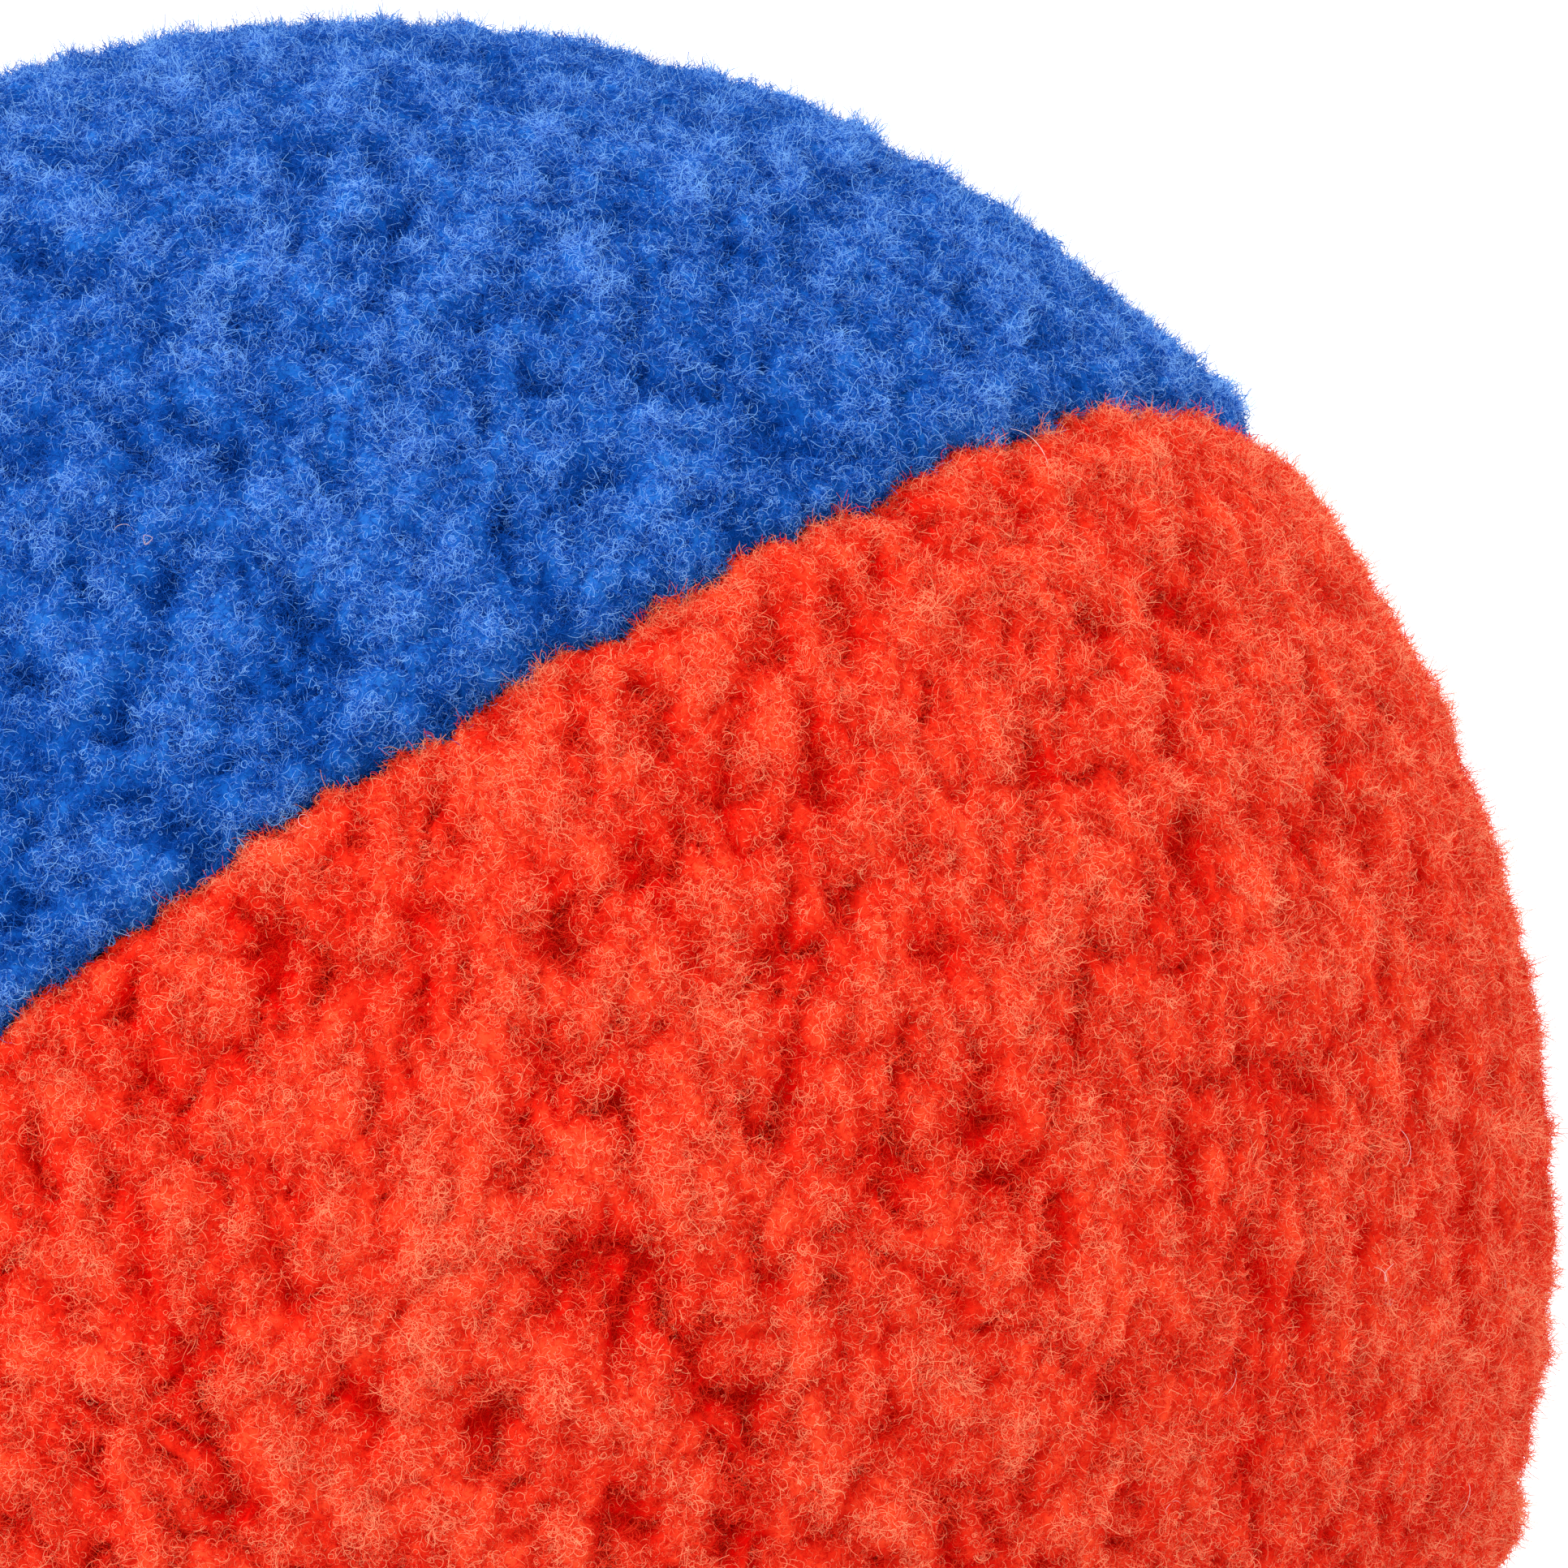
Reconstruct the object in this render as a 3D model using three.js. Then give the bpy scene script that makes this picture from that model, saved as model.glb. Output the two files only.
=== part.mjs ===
// A four-panel juggling ball. Four lens-shaped fleece panels, two blue and two red, are sewn edge to
// edge into a round cover. An inner bag of thin woven cloth, sewn from four smaller panels, holds the
// grain that gives the ball its weight. The ball has settled, so it stands on a flat patch.
// The four seams are half circles that meet at the two poles, which lie on the X axis. The blue panels
// face up and down (+Z and -Z), the red ones front and back (-Y and +Y). The origin is the middle of
// the flat patch, and +Z is up. All sizes are millimetres, and angles are radians.
import * as THREE from "three";

// The whole ball.
const ballDiameter = 66;
const settleDepth = 2.8; // how far the round underside has been pressed flat
const settleBlend = 1.3; // how softly the round side turns into the flat patch

// Fleece cover: each panel's edges are folded in along the seam, and the folded strip lies behind it.
const coverThickness = 2.4;
const allowanceThickness = 1.4; // the folded strip, pressed flatter than the panel
const allowanceWidth = 5;
const allowanceTaper = 0.6;
const foldRadius = 1.6; // the round shoulder that a panel turns into its seam
const panelGap = 0.3; // between two panels' folded edges
const coverTipRadius = 1.5; // how near the pole line a panel's point comes

// Sewing thread of the cover, which lies in a groove between two folded edges.
const threadRadius = 0.25;
const threadClearance = 0.3;
const grooveLip = 0.25; // panel between the shoulder and the groove
const grooveSlope = 0.2;

// Inner bag of woven cloth.
const bagThickness = 0.5;
const bagAllowanceThickness = 0.5;
const bagAllowanceWidth = 3.2;
const bagAllowanceTaper = 0.3;
const bagTipRadius = 2;
const bagThreadRadius = 0.2;

// Clearances, and the part of the last seam that is sewn by hand after filling.
const layerGap = 0.5; // between the cover, the inner bag and the grain
const closingLength = 32;
const closingGap = 1; // between the machine thread's end and the hand-sewn one

// The share of a panel's half width that its folded edge takes where the panel is narrow.
const coverEdgeShare = 0.75;
const bagEdgeShare = 0.9;
const grainEdgeShare = 0.95;

// How finely the faces are divided.
const facetSag = 0.12; // how far the middle of a flat facet may lie inside the round face
const threadSides = 5;

const ballRadius = ballDiameter / 2;
const facetAngle = 2 * Math.acos(1 - facetSag / ballRadius);
const stationCount = 2 * Math.ceil(Math.PI / facetAngle / 2); // from pole to pole, with one at the middle
const outerSteps = 2 * Math.ceil(Math.PI / 4 / facetAngle); // across the cover's outer face
const innerSteps = outerSteps - 3; // across every face inside it, so that the layers' facets line up
const centreHeight = ballRadius - settleDepth;
const halfGap = panelGap / 2;
const quarterTurn = Math.PI / 2;
const eighthTurn = Math.PI / 4;
const seamThickness = coverThickness + allowanceThickness;
const grooveWidth = threadRadius + threadClearance - halfGap;
const grooveHalfHeight = threadRadius + threadClearance + grooveSlope;
const threadDepth = foldRadius + grooveLip + grooveHalfHeight;
const bagEdgeGap = bagThreadRadius + threadClearance;
const bagMiddleDepth = coverThickness + layerGap;
const bagSeamDepth = seamThickness + layerGap;
const bagStep = bagSeamDepth - bagMiddleDepth;
const bagInnerMiddle = bagMiddleDepth + bagThickness;
const bagInnerSeam = bagSeamDepth + bagThickness + bagAllowanceThickness;

const blueFleece = new THREE.MeshStandardMaterial({ color: 0x2a5fba, roughness: 0.95, metalness: 0 });
const redFleece = new THREE.MeshStandardMaterial({ color: 0xe73a24, roughness: 0.95, metalness: 0 });
const sewingThread = new THREE.MeshStandardMaterial({ color: 0x1d2b63, roughness: 0.7, metalness: 0 });
const bagCloth = new THREE.MeshStandardMaterial({ color: 0xe4dcc6, roughness: 0.9, metalness: 0 });
const bagThread = new THREE.MeshStandardMaterial({ color: 0xf2efe6, roughness: 0.7, metalness: 0 });
const grain = new THREE.MeshStandardMaterial({ color: 0xd2ac64, roughness: 0.6, metalness: 0 });

// The panels by the way they face, as an angle about X from +Y towards +Z.
const panels = [
  { side: "back", facing: 0, fleece: redFleece },
  { side: "top", facing: quarterTurn, fleece: blueFleece },
  { side: "front", facing: 2 * quarterTurn, fleece: redFleece },
  { side: "bottom", facing: 3 * quarterTurn, fleece: blueFleece },
];

// A point of the ball: polar is its angle from the +X pole, around its angle about X, and depth how far
// it lies in from the outer face. Below, the round face is pressed flat, and each layer with it.
function place(polar, around, depth) {
  const out = new THREE.Vector3(
    Math.cos(polar),
    Math.sin(polar) * Math.cos(around),
    Math.sin(polar) * Math.sin(around),
  );
  const round = ballRadius - depth;
  const flat = out.z < 0 ? (centreHeight - depth) / -out.z : Infinity;
  const blend = Math.max(0, 1 - Math.abs(round - flat) / settleBlend);
  const reach = Math.min(round, flat) - (settleBlend * blend * blend) / 4;
  return out.multiplyScalar(reach).add(new THREE.Vector3(0, 0, centreHeight));
}

// The angle about X that a point lies from a seam when it is a distance from that seam's plane.
function angleFromSeam(distance, polar, depth) {
  return Math.asin(distance / ((ballRadius - depth) * Math.sin(polar)));
}

// How far an edge's folded strip shrinks towards the poles, where the panel is narrower than the strip.
function stripShrink(edge, polar) {
  const halfWidth = (ballRadius - edge.deepest) * Math.sin(polar) * Math.sin(eighthTurn);
  return Math.min(1, (edge.share * halfWidth - edge.gap) / edge.widest);
}

// The angles between two ends, without the ends themselves.
function anglesBetween(from, to, steps) {
  return Array.from({ length: steps - 1 }, (_, i) => from + ((to - from) * (i + 1)) / steps);
}

// A closed skin over rings of points that run from the +X end to the -X end, with flat end faces.
function loft(rings) {
  const count = rings[0].length;
  const triangles = [];
  for (let i = 0; i + 1 < rings.length; i++) {
    for (let j = 0; j < count; j++) {
      const here = i * count + j;
      const next = i * count + ((j + 1) % count);
      triangles.push(here, here + count, next, next, here + count, next + count);
    }
  }
  for (const [ring, turned] of [[0, false], [rings.length - 1, true]]) {
    const outline = rings[ring].map((p) => new THREE.Vector2(p.y, p.z));
    for (const [a, b, c] of THREE.ShapeUtils.triangulateShape(outline, [])) {
      const anticlockwise = THREE.ShapeUtils.area([outline[a], outline[b], outline[c]]) > 0;
      const corners = anticlockwise === turned ? [a, c, b] : [a, b, c];
      triangles.push(...corners.map((corner) => ring * count + corner));
    }
  }
  const geometry = new THREE.BufferGeometry();
  const points = rings.flat().flatMap((p) => p.toArray());
  geometry.setAttribute("position", new THREE.Float32BufferAttribute(points, 3));
  geometry.setIndex(triangles);
  geometry.computeVertexNormals();
  return geometry;
}

// A folded edge. Its profile lists points from the outer face round the edge to the inner face, as how
// far each lies past the edge and how deep. The gap is from the seam's plane to the edge. A point's
// inset is a further distance that doesn't shrink towards the poles, because a thread needs it.
function foldedEdge(gap, share, steps, profile) {
  const widest = Math.max(...profile.map((point) => point.past));
  const deepest = Math.max(...profile.map((point) => point.depth));
  return { gap, share, steps, profile, widest, deepest };
}

// An edge's profile at one station, as angles from the middle of the panel.
function rimAt(edge, polar) {
  const shrink = stripShrink(edge, polar);
  return edge.profile.map(({ past, depth, inset = 0 }) => ({
    angle: eighthTurn - angleFromSeam(edge.gap + inset + past * shrink, polar, depth),
    depth,
  }));
}

// A panel's section at one station: across the outer face, round one edge, and back inside.
function panelRing(facing, polar, edge) {
  const rim = rimAt(edge, polar);
  const outer = rim[0];
  const inner = rim.at(-1);
  return [
    ...anglesBetween(-outer.angle, outer.angle, edge.steps).map((angle) =>
      place(polar, facing + angle, outer.depth)),
    ...rim.map(({ angle, depth }) => place(polar, facing + angle, depth)),
    ...anglesBetween(inner.angle, -inner.angle, innerSteps).map((angle) =>
      place(polar, facing + angle, inner.depth)),
    ...rim.toReversed().map(({ angle, depth }) => place(polar, facing - angle, depth)),
  ];
}

// The stations of a piece whose ends stop a little way from the pole line.
function stations(tipRadius, depth) {
  const first = Math.asin(tipRadius / (ballRadius - depth));
  return Array.from({ length: stationCount + 1 }, (_, i) =>
    first + ((Math.PI - 2 * first) * i) / stationCount);
}

function panelGeometry(facing, edge, tipRadius) {
  return loft(stations(tipRadius, edge.deepest).map((polar) => panelRing(facing, polar, edge)));
}

// The cover panel's folded edge: a round shoulder, the thread's groove, and the folded strip behind.
const shoulder = [0, 30, 60, 90].map((degrees) => {
  const turn = THREE.MathUtils.degToRad(degrees);
  return { past: foldRadius * (1 - Math.sin(turn)), depth: foldRadius * (1 - Math.cos(turn)) };
});
const coverEdge = foldedEdge(halfGap, coverEdgeShare, outerSteps, [
  ...shoulder,
  { past: 0, depth: threadDepth - grooveHalfHeight },
  { past: 0, inset: grooveWidth, depth: threadDepth - grooveHalfHeight + grooveSlope },
  { past: 0, inset: grooveWidth, depth: threadDepth + grooveHalfHeight - grooveSlope },
  { past: 0, depth: threadDepth + grooveHalfHeight },
  { past: 0, depth: seamThickness },
  { past: allowanceWidth, depth: seamThickness },
  { past: allowanceWidth + allowanceTaper, depth: coverThickness },
]);

// The inner bag's panel dips behind the cover's folded strips and bulges between them.
const dipEnd = allowanceWidth + 2 * layerGap;
const bagEdge = foldedEdge(bagEdgeGap, bagEdgeShare, innerSteps, [
  { past: dipEnd + bagStep / 2, depth: bagMiddleDepth },
  { past: dipEnd, depth: bagSeamDepth },
  { past: bagAllowanceWidth, depth: bagSeamDepth },
  { past: 0, depth: bagSeamDepth },
  { past: 0, depth: bagInnerSeam },
  { past: bagAllowanceWidth, depth: bagInnerSeam },
  { past: bagAllowanceWidth + bagAllowanceTaper, depth: bagSeamDepth + bagThickness },
  { past: dipEnd + bagThickness / 2, depth: bagSeamDepth + bagThickness },
  { past: dipEnd + bagThickness / 2 + bagStep / 2, depth: bagInnerMiddle },
]);

// The grain fills the inner bag: one lump that dips behind the seams and bulges between them.
const grainEdge = foldedEdge(bagEdgeGap + layerGap, grainEdgeShare, innerSteps, [
  { past: bagEdge.widest, depth: bagInnerMiddle + layerGap },
  { past: bagEdge.profile.at(-2).past, depth: bagInnerSeam + layerGap },
  { past: bagAllowanceWidth, depth: bagInnerSeam + layerGap },
]);

function grainGeometry() {
  const rings = stations(bagTipRadius, grainEdge.deepest).map((polar) => {
    const rim = rimAt(grainEdge, polar);
    const crest = rim[0];
    return panels.flatMap(({ facing }) => [
      place(polar, facing - eighthTurn, grainEdge.deepest),
      ...rim.toReversed().map(({ angle, depth }) => place(polar, facing - angle, depth)),
      ...anglesBetween(-crest.angle, crest.angle, grainEdge.steps).map((angle) =>
        place(polar, facing + angle, crest.depth)),
      ...rim.map(({ angle, depth }) => place(polar, facing + angle, depth)),
    ]);
  });
  return loft(rings);
}

// A thread that runs along one seam between two angles from the +X pole.
function threadGeometry(seam, radius, depth, fromPolar, toPolar) {
  const steps = Math.ceil((toPolar - fromPolar) / facetAngle);
  const route = Array.from({ length: steps + 1 }, (_, i) =>
    place(fromPolar + ((toPolar - fromPolar) * i) / steps, seam, depth));
  const section = new THREE.Shape(
    Array.from({ length: threadSides }, (_, i) => {
      const turn = (2 * Math.PI * i) / threadSides;
      return new THREE.Vector2(radius * Math.cos(turn), radius * Math.sin(turn));
    }),
  );
  return new THREE.ExtrudeGeometry(section, {
    steps,
    extrudePath: new THREE.CatmullRomCurve3(route),
    bevelEnabled: false,
  });
}

const ball = new THREE.Group();

function add(name, geometry, material) {
  const mesh = new THREE.Mesh(geometry, material);
  mesh.name = name;
  ball.add(mesh);
}

for (const { side, facing, fleece } of panels) {
  add(`cover_panel_${side}`, panelGeometry(facing, coverEdge, coverTipRadius), fleece);
  add(`bag_panel_${side}`, panelGeometry(facing, bagEdge, bagTipRadius), bagCloth);
}

// Each layer's four seams. The seam between the bottom and the back panel is sewn last: its thread
// stops short, and a hand-sewn closing thread runs on from there to the +X pole.
const layers = [
  { layer: "cover", radius: threadRadius, depth: threadDepth, tip: coverTipRadius, material: sewingThread },
  {
    layer: "bag",
    radius: bagThreadRadius,
    depth: (bagSeamDepth + bagInnerSeam) / 2,
    tip: bagTipRadius,
    material: bagThread,
  },
];
for (const { layer, radius, depth, tip, material } of layers) {
  const seamRadius = ballRadius - depth;
  const firstPolar = (2 * tip) / seamRadius;
  const closingEnd = firstPolar + closingLength / seamRadius;
  panels.forEach(({ side, facing }, i) => {
    const next = panels[(i + 1) % panels.length].side;
    const closes = side === "bottom";
    const start = closes ? closingEnd + closingGap / seamRadius : firstPolar;
    const seam = facing + eighthTurn;
    const run = threadGeometry(seam, radius, depth, start, Math.PI - firstPolar);
    add(`${layer}_thread_${side}_${next}`, run, material);
    if (closes) {
      const closing = threadGeometry(seam, radius, depth, firstPolar, closingEnd);
      add(`${layer}_closing_thread`, closing, material);
    }
  });
}

add("grain_fill", grainGeometry(), grain);

export default ball;
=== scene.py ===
# A sewn juggling ball, from the outside in: the fleece cover and its pile, the cover's threads, the
# inner bag and its threads, the grain, and last the table and the light. All sizes are in metres.
import math

import bpy
import numpy as np
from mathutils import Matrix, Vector
from mathutils.kdtree import KDTree


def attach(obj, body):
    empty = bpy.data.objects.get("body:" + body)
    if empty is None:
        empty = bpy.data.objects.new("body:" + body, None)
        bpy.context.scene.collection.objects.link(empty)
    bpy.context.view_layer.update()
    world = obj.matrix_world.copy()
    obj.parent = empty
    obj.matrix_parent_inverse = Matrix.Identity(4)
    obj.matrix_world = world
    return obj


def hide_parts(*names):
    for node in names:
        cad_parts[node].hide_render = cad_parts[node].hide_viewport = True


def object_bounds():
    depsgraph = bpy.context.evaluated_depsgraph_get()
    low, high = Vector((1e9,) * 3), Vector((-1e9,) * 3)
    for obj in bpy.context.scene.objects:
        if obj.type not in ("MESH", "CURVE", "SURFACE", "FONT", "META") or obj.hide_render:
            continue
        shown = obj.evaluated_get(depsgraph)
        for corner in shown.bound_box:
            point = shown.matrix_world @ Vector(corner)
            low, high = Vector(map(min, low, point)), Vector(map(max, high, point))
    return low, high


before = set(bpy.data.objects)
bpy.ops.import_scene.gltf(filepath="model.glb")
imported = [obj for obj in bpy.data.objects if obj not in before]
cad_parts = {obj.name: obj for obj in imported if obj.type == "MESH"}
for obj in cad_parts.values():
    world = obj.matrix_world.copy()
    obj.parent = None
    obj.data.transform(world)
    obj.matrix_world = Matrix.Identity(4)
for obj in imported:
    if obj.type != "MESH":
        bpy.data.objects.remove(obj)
cad_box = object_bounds()

# --- The camera ---------------------------------------------------------------------------------
# It stands to the left of the front and a little above the ball, close enough for the ball's upper
# right part to fill the picture.
MM = 0.001
ball_low, ball_high = (Vector(corner) for corner in cad_box)
BALL_RADIUS = (ball_high.y - ball_low.y) / 2
BALL_CENTRE = Vector((0, 0, ball_high.z - BALL_RADIUS))

CAMERA_AZIMUTH = math.radians(-56.4)
CAMERA_ELEVATION = math.radians(7.4)
CAMERA_DISTANCE = 400 * MM
RADIUS_SHARE = 0.7605  # the ball's radius, as a share of the picture's width
AIM_RIGHT = 0.356 * BALL_RADIUS  # the camera looks past the ball's middle, towards its upper right
AIM_UP = 0.358 * BALL_RADIUS

towards_camera = Vector((
    math.sin(CAMERA_AZIMUTH) * math.cos(CAMERA_ELEVATION),
    -math.cos(CAMERA_AZIMUTH) * math.cos(CAMERA_ELEVATION),
    math.sin(CAMERA_ELEVATION),
))
camera_right = Vector((math.cos(CAMERA_AZIMUTH), math.sin(CAMERA_AZIMUTH), 0))
camera_up = towards_camera.cross(camera_right)
aim = BALL_CENTRE + AIM_RIGHT * camera_right + AIM_UP * camera_up

lens = bpy.data.cameras.new("camera")
lens.sensor_width = 36
lens.lens = lens.sensor_width * RADIUS_SHARE / math.tan(math.asin(BALL_RADIUS / CAMERA_DISTANCE))
lens.clip_start = 1 * MM
lens.clip_end = 20
camera = bpy.data.objects.new("camera", lens)
camera.location = BALL_CENTRE + CAMERA_DISTANCE * towards_camera
camera.rotation_euler = (aim - camera.location).to_track_quat("-Z", "Y").to_euler()
bpy.context.collection.objects.link(camera)
bpy.context.scene.camera = camera

# --- The fleece cover ---------------------------------------------------------------------------
# Four lens-shaped panels of brushed polyester fleece, two blue and two red, sewn edge to edge. Each
# edge is folded in at the seam, and the brushed side stands up in soft clumps.
SETTLE_DEPTH = BALL_RADIUS - BALL_CENTRE.z  # how far the round underside is pressed flat
SETTLE_BLEND = 1.3 * MM
COVER_THICKNESS = 2.4 * MM
SEAM_THICKNESS = 3.8 * MM
ALLOWANCE_WIDTH = 5 * MM
PANEL_GAP = 0.1 * MM  # between two panels' folded edges, where the pile closes over the seam
THREAD_DEPTH = 2.6 * MM  # the sewing thread lies in a groove between the two folded edges
GROOVE_HEIGHT = 1.5 * MM
GROOVE_WIDTH = 0.45 * MM
GROOVE_SLOPE = 0.2 * MM
FOLD_END = 1.12  # where the folded allowance has thinned out, as a share of its width
TIP_RADIUS = 0.2 * MM  # the panels end this far from the line through the poles
ALONG_STEPS = 400
ACROSS_STEPS = 216

# The seam: how deep the cloth turns in at it, and how its line wanders along the way.
SEAM_DIP = 1.1 * MM
SEAM_SHOULDER = 1.8 * MM  # how far from the seam the cloth starts to turn in
SEAM_TWIST = 0.35 * MM  # the sewn line lies a little to one side of the panels' true edges
SEAM_SWAY = 0.75 * MM  # and sways from side to side along its length
SWAY_LENGTH = 62 * MM
SWAY_START = 42 * MM
RIPPLE = 0.2 * MM  # with a smaller ripple where the cloth was eased under the needle
RIPPLE_LENGTH = 7.6 * MM
RIPPLE_START = 69.5 * MM
STITCH_LENGTH = 2.6 * MM
STITCH_PINCH = 0.15 * MM  # each stitch draws the seam a little to one side
STITCH_DRIFT = 7 * MM
CROSSING = 0.13 * MM  # and the clumps of pile beside it push it to and fro
CROSSING_LENGTH = 1.1 * MM
CROSSING_DRIFT = 3 * MM
STEADY_TIP = 1 * MM  # near the poles the line runs straight

# The brushed pile, from its largest lumps to its smallest.
NAP_STRETCH = 0.45  # how much lengths along the nap are cut down, so that the lumps are longer there
SWELL_SIZE = 6 * MM
SWELL_HEIGHT = 0.06 * MM
BEND_SIZE = 4 * MM
BEND_REACH = 0.5 * MM
CLUMP_SIZE = 1.5 * MM
CLUMP_HEIGHT = 0.38 * MM
TUFT_SIZE = 0.95 * MM
TUFT_HEIGHT = 0.46 * MM
KNOT_SIZE = 0.42 * MM
KNOT_HEIGHT = 0.08 * MM
PIT_DEPTH = 0.4 * MM
PILE_RISE = 0.3 * MM  # how far the middle of the clumps lies inside the ball's outer size
CALM_WIDTH = 1.6 * MM  # the clumps are lower within this distance of a seam
EDGE_WIDTH = 0.15 * MM  # and there are none on the fold itself
FLOOR_CLEARANCE = 0.8 * MM  # the weight of the ball presses them flat on the table

QUARTER = math.pi / 2
EIGHTH = math.pi / 4
PANELS = {
    "back": {"facing": 0, "dye": "red"},
    "top": {"facing": QUARTER, "dye": "blue"},
    "front": {"facing": 2 * QUARTER, "dye": "red"},
    "bottom": {"facing": 3 * QUARTER, "dye": "blue"},
}


def gradient_noise(points, seed):
    """Smooth noise from about -1 to 1 at each of an array of points, one unit from lump to lump."""
    table = np.random.default_rng(seed).normal(size=(32, 32, 32, 3)).astype(np.float32)
    table /= np.linalg.norm(table, axis=3, keepdims=True)
    cell = np.floor(points).astype(np.int32)
    part = (points - cell).astype(np.float32)
    fade = part * part * part * (part * (part * 6 - 15) + 10)
    total = np.zeros(len(points), np.float32)
    for corner in np.ndindex(2, 2, 2):
        at = (cell + corner) % 32
        slope = table[at[:, 0], at[:, 1], at[:, 2]]
        weight = np.prod(np.where(corner, fade, 1 - fade), axis=1)
        total += weight * np.einsum("ij,ij->i", slope, part - np.array(corner, np.float32))
    return total * 1.5


def settled(direction, depth):
    """How far from the ball's middle a layer lies in each direction: round, but pressed flat below."""
    round_reach = BALL_RADIUS - depth
    down = np.maximum(-direction[..., 2], 1e-6)
    flat_reach = (BALL_RADIUS - SETTLE_DEPTH - depth) / down
    blend = np.maximum(0, 1 - np.abs(round_reach - flat_reach) / SETTLE_BLEND)
    return np.minimum(round_reach, flat_reach) - SETTLE_BLEND * blend**2 / 4


def direction_of(polar, around):
    """The direction at an angle from the +X pole and an angle about X."""
    return np.stack(np.broadcast_arrays(
        np.cos(polar), np.sin(polar) * np.cos(around), np.sin(polar) * np.sin(around)), axis=-1)


def seam_angle(seam, polar):
    """The angle about X of a sewn seam, which sways and is pinched by its stitches."""
    along = polar * BALL_RADIUS
    turn = seam - 3 * EIGHTH
    sway = SEAM_TWIST - SEAM_SWAY * np.cos((along - SWAY_START) * 2 * math.pi / SWAY_LENGTH + 2 * turn)
    sway += RIPPLE * np.cos((along - RIPPLE_START) * 2 * math.pi / RIPPLE_LENGTH + turn)
    stitches = along * 2 * math.pi / STITCH_LENGTH + 3 * np.sin(along / STITCH_DRIFT)
    crossings = along * 2 * math.pi / CROSSING_LENGTH + 4 * np.sin(along / CROSSING_DRIFT) + turn
    sway += STITCH_PINCH * np.cos(stitches)
    sway += CROSSING * np.cos(crossings)
    return seam + sway * np.sin(polar) / (BALL_RADIUS * np.sin(polar) + STEADY_TIP)


def clump_height(points, nap, seed):
    """The height of the brushed pile over the cloth: soft clumps, tufts on them, and pits between."""
    stretched = points - NAP_STRETCH * (points @ nap)[:, None] * nap
    bend = np.stack([gradient_noise(stretched / BEND_SIZE, seed + i) for i in range(3)], axis=1)
    bent = stretched + BEND_REACH * bend
    clumps = gradient_noise(bent / CLUMP_SIZE, seed + 3)
    tufts = np.abs(gradient_noise(bent / TUFT_SIZE, seed + 4)) ** 0.7 - 0.42
    knots = np.abs(gradient_noise((points + 0.3 * bent) / KNOT_SIZE, seed + 5)) - 0.3
    swell = gradient_noise(points / SWELL_SIZE, seed + 6)
    low = np.clip(-(clumps + 1.3 * tufts) - 0.4, 0, 0.6) / 0.6
    pits = low * low * (3 - 2 * low)
    height = CLUMP_HEIGHT * clumps + TUFT_HEIGHT * tufts + KNOT_HEIGHT * knots + SWELL_HEIGHT * swell
    return height - PIT_DEPTH * pits - PILE_RISE


def panel_surface(facing, nap, seed):
    """A panel's whole skin as a grid of points, station by station along it and all the way round
    each station: the brushed face from seam to seam, the folded edge, and the cloth's inner side.
    The face is also given alone, with how far its pile stands up at each point."""
    first = math.asin(TIP_RADIUS / BALL_RADIUS)
    polar = np.linspace(first, math.pi - first, ALONG_STEPS + 1)[:, None]
    rho = BALL_RADIUS * np.sin(polar)
    left = seam_angle(facing - EIGHTH, polar) + np.arcsin(PANEL_GAP / 2 / rho)
    right = seam_angle(facing + EIGHTH, polar) - np.arcsin(PANEL_GAP / 2 / rho)
    middle, half = (left + right) / 2, (right - left) / 2
    share = np.linspace(-1, 1, ACROSS_STEPS + 1)[None, :]
    from_seam = (1 - np.abs(share)) * half * rho
    shoulder = np.minimum(SEAM_SHOULDER, 0.9 * half * rho)
    turn = np.clip(1 - from_seam / shoulder, 0, 1)
    dip = SEAM_DIP * (1 - np.sqrt(np.maximum(1 - turn**2.6, 0)))
    outward = direction_of(polar, middle + share * half)
    skin = outward * settled(outward, dip)[..., None]
    height = clump_height(skin.reshape(-1, 3), nap, seed).reshape(dip.shape)
    calm = np.clip(from_seam / CALM_WIDTH, 0, 1) ** 0.7
    floor_share = np.clip((skin[..., 2] + BALL_CENTRE.z) / FLOOR_CLEARANCE, 0, 1)
    lift = height * (0.6 + 0.4 * calm) * floor_share * np.clip(from_seam / EDGE_WIDTH, 0, 1)
    face = skin + outward * lift[..., None]

    allowance = np.minimum(ALLOWANCE_WIDTH, 0.7 * half * rho) / rho
    groove = np.minimum(GROOVE_WIDTH, 0.15 * half * rho) / rho
    lip, bed = THREAD_DEPTH - GROOVE_HEIGHT / 2, THREAD_DEPTH + GROOVE_HEIGHT / 2
    steps = [(0, lip), (groove, lip + GROOVE_SLOPE), (groove, bed - GROOVE_SLOPE), (0, bed)]
    steps += [(0, SEAM_THICKNESS), (0.5 * allowance, SEAM_THICKNESS), (allowance, SEAM_THICKNESS)]
    steps += [(FOLD_END * allowance, COVER_THICKNESS)]
    back = [(half - inset, depth) for inset, depth in steps]
    back += [((half - FOLD_END * allowance) * part, COVER_THICKNESS) for part in (0.6, 0.2)]
    back += [(-angle, depth) for angle, depth in reversed(back)]
    rows = []
    for angle, depth in back:
        out = direction_of(polar, middle + angle)
        rows.append(out * settled(out, np.full(out.shape[:-1], depth))[..., None])
    return np.concatenate([face, *rows], axis=1), face, (height + PILE_RISE) / CLUMP_HEIGHT


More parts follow.
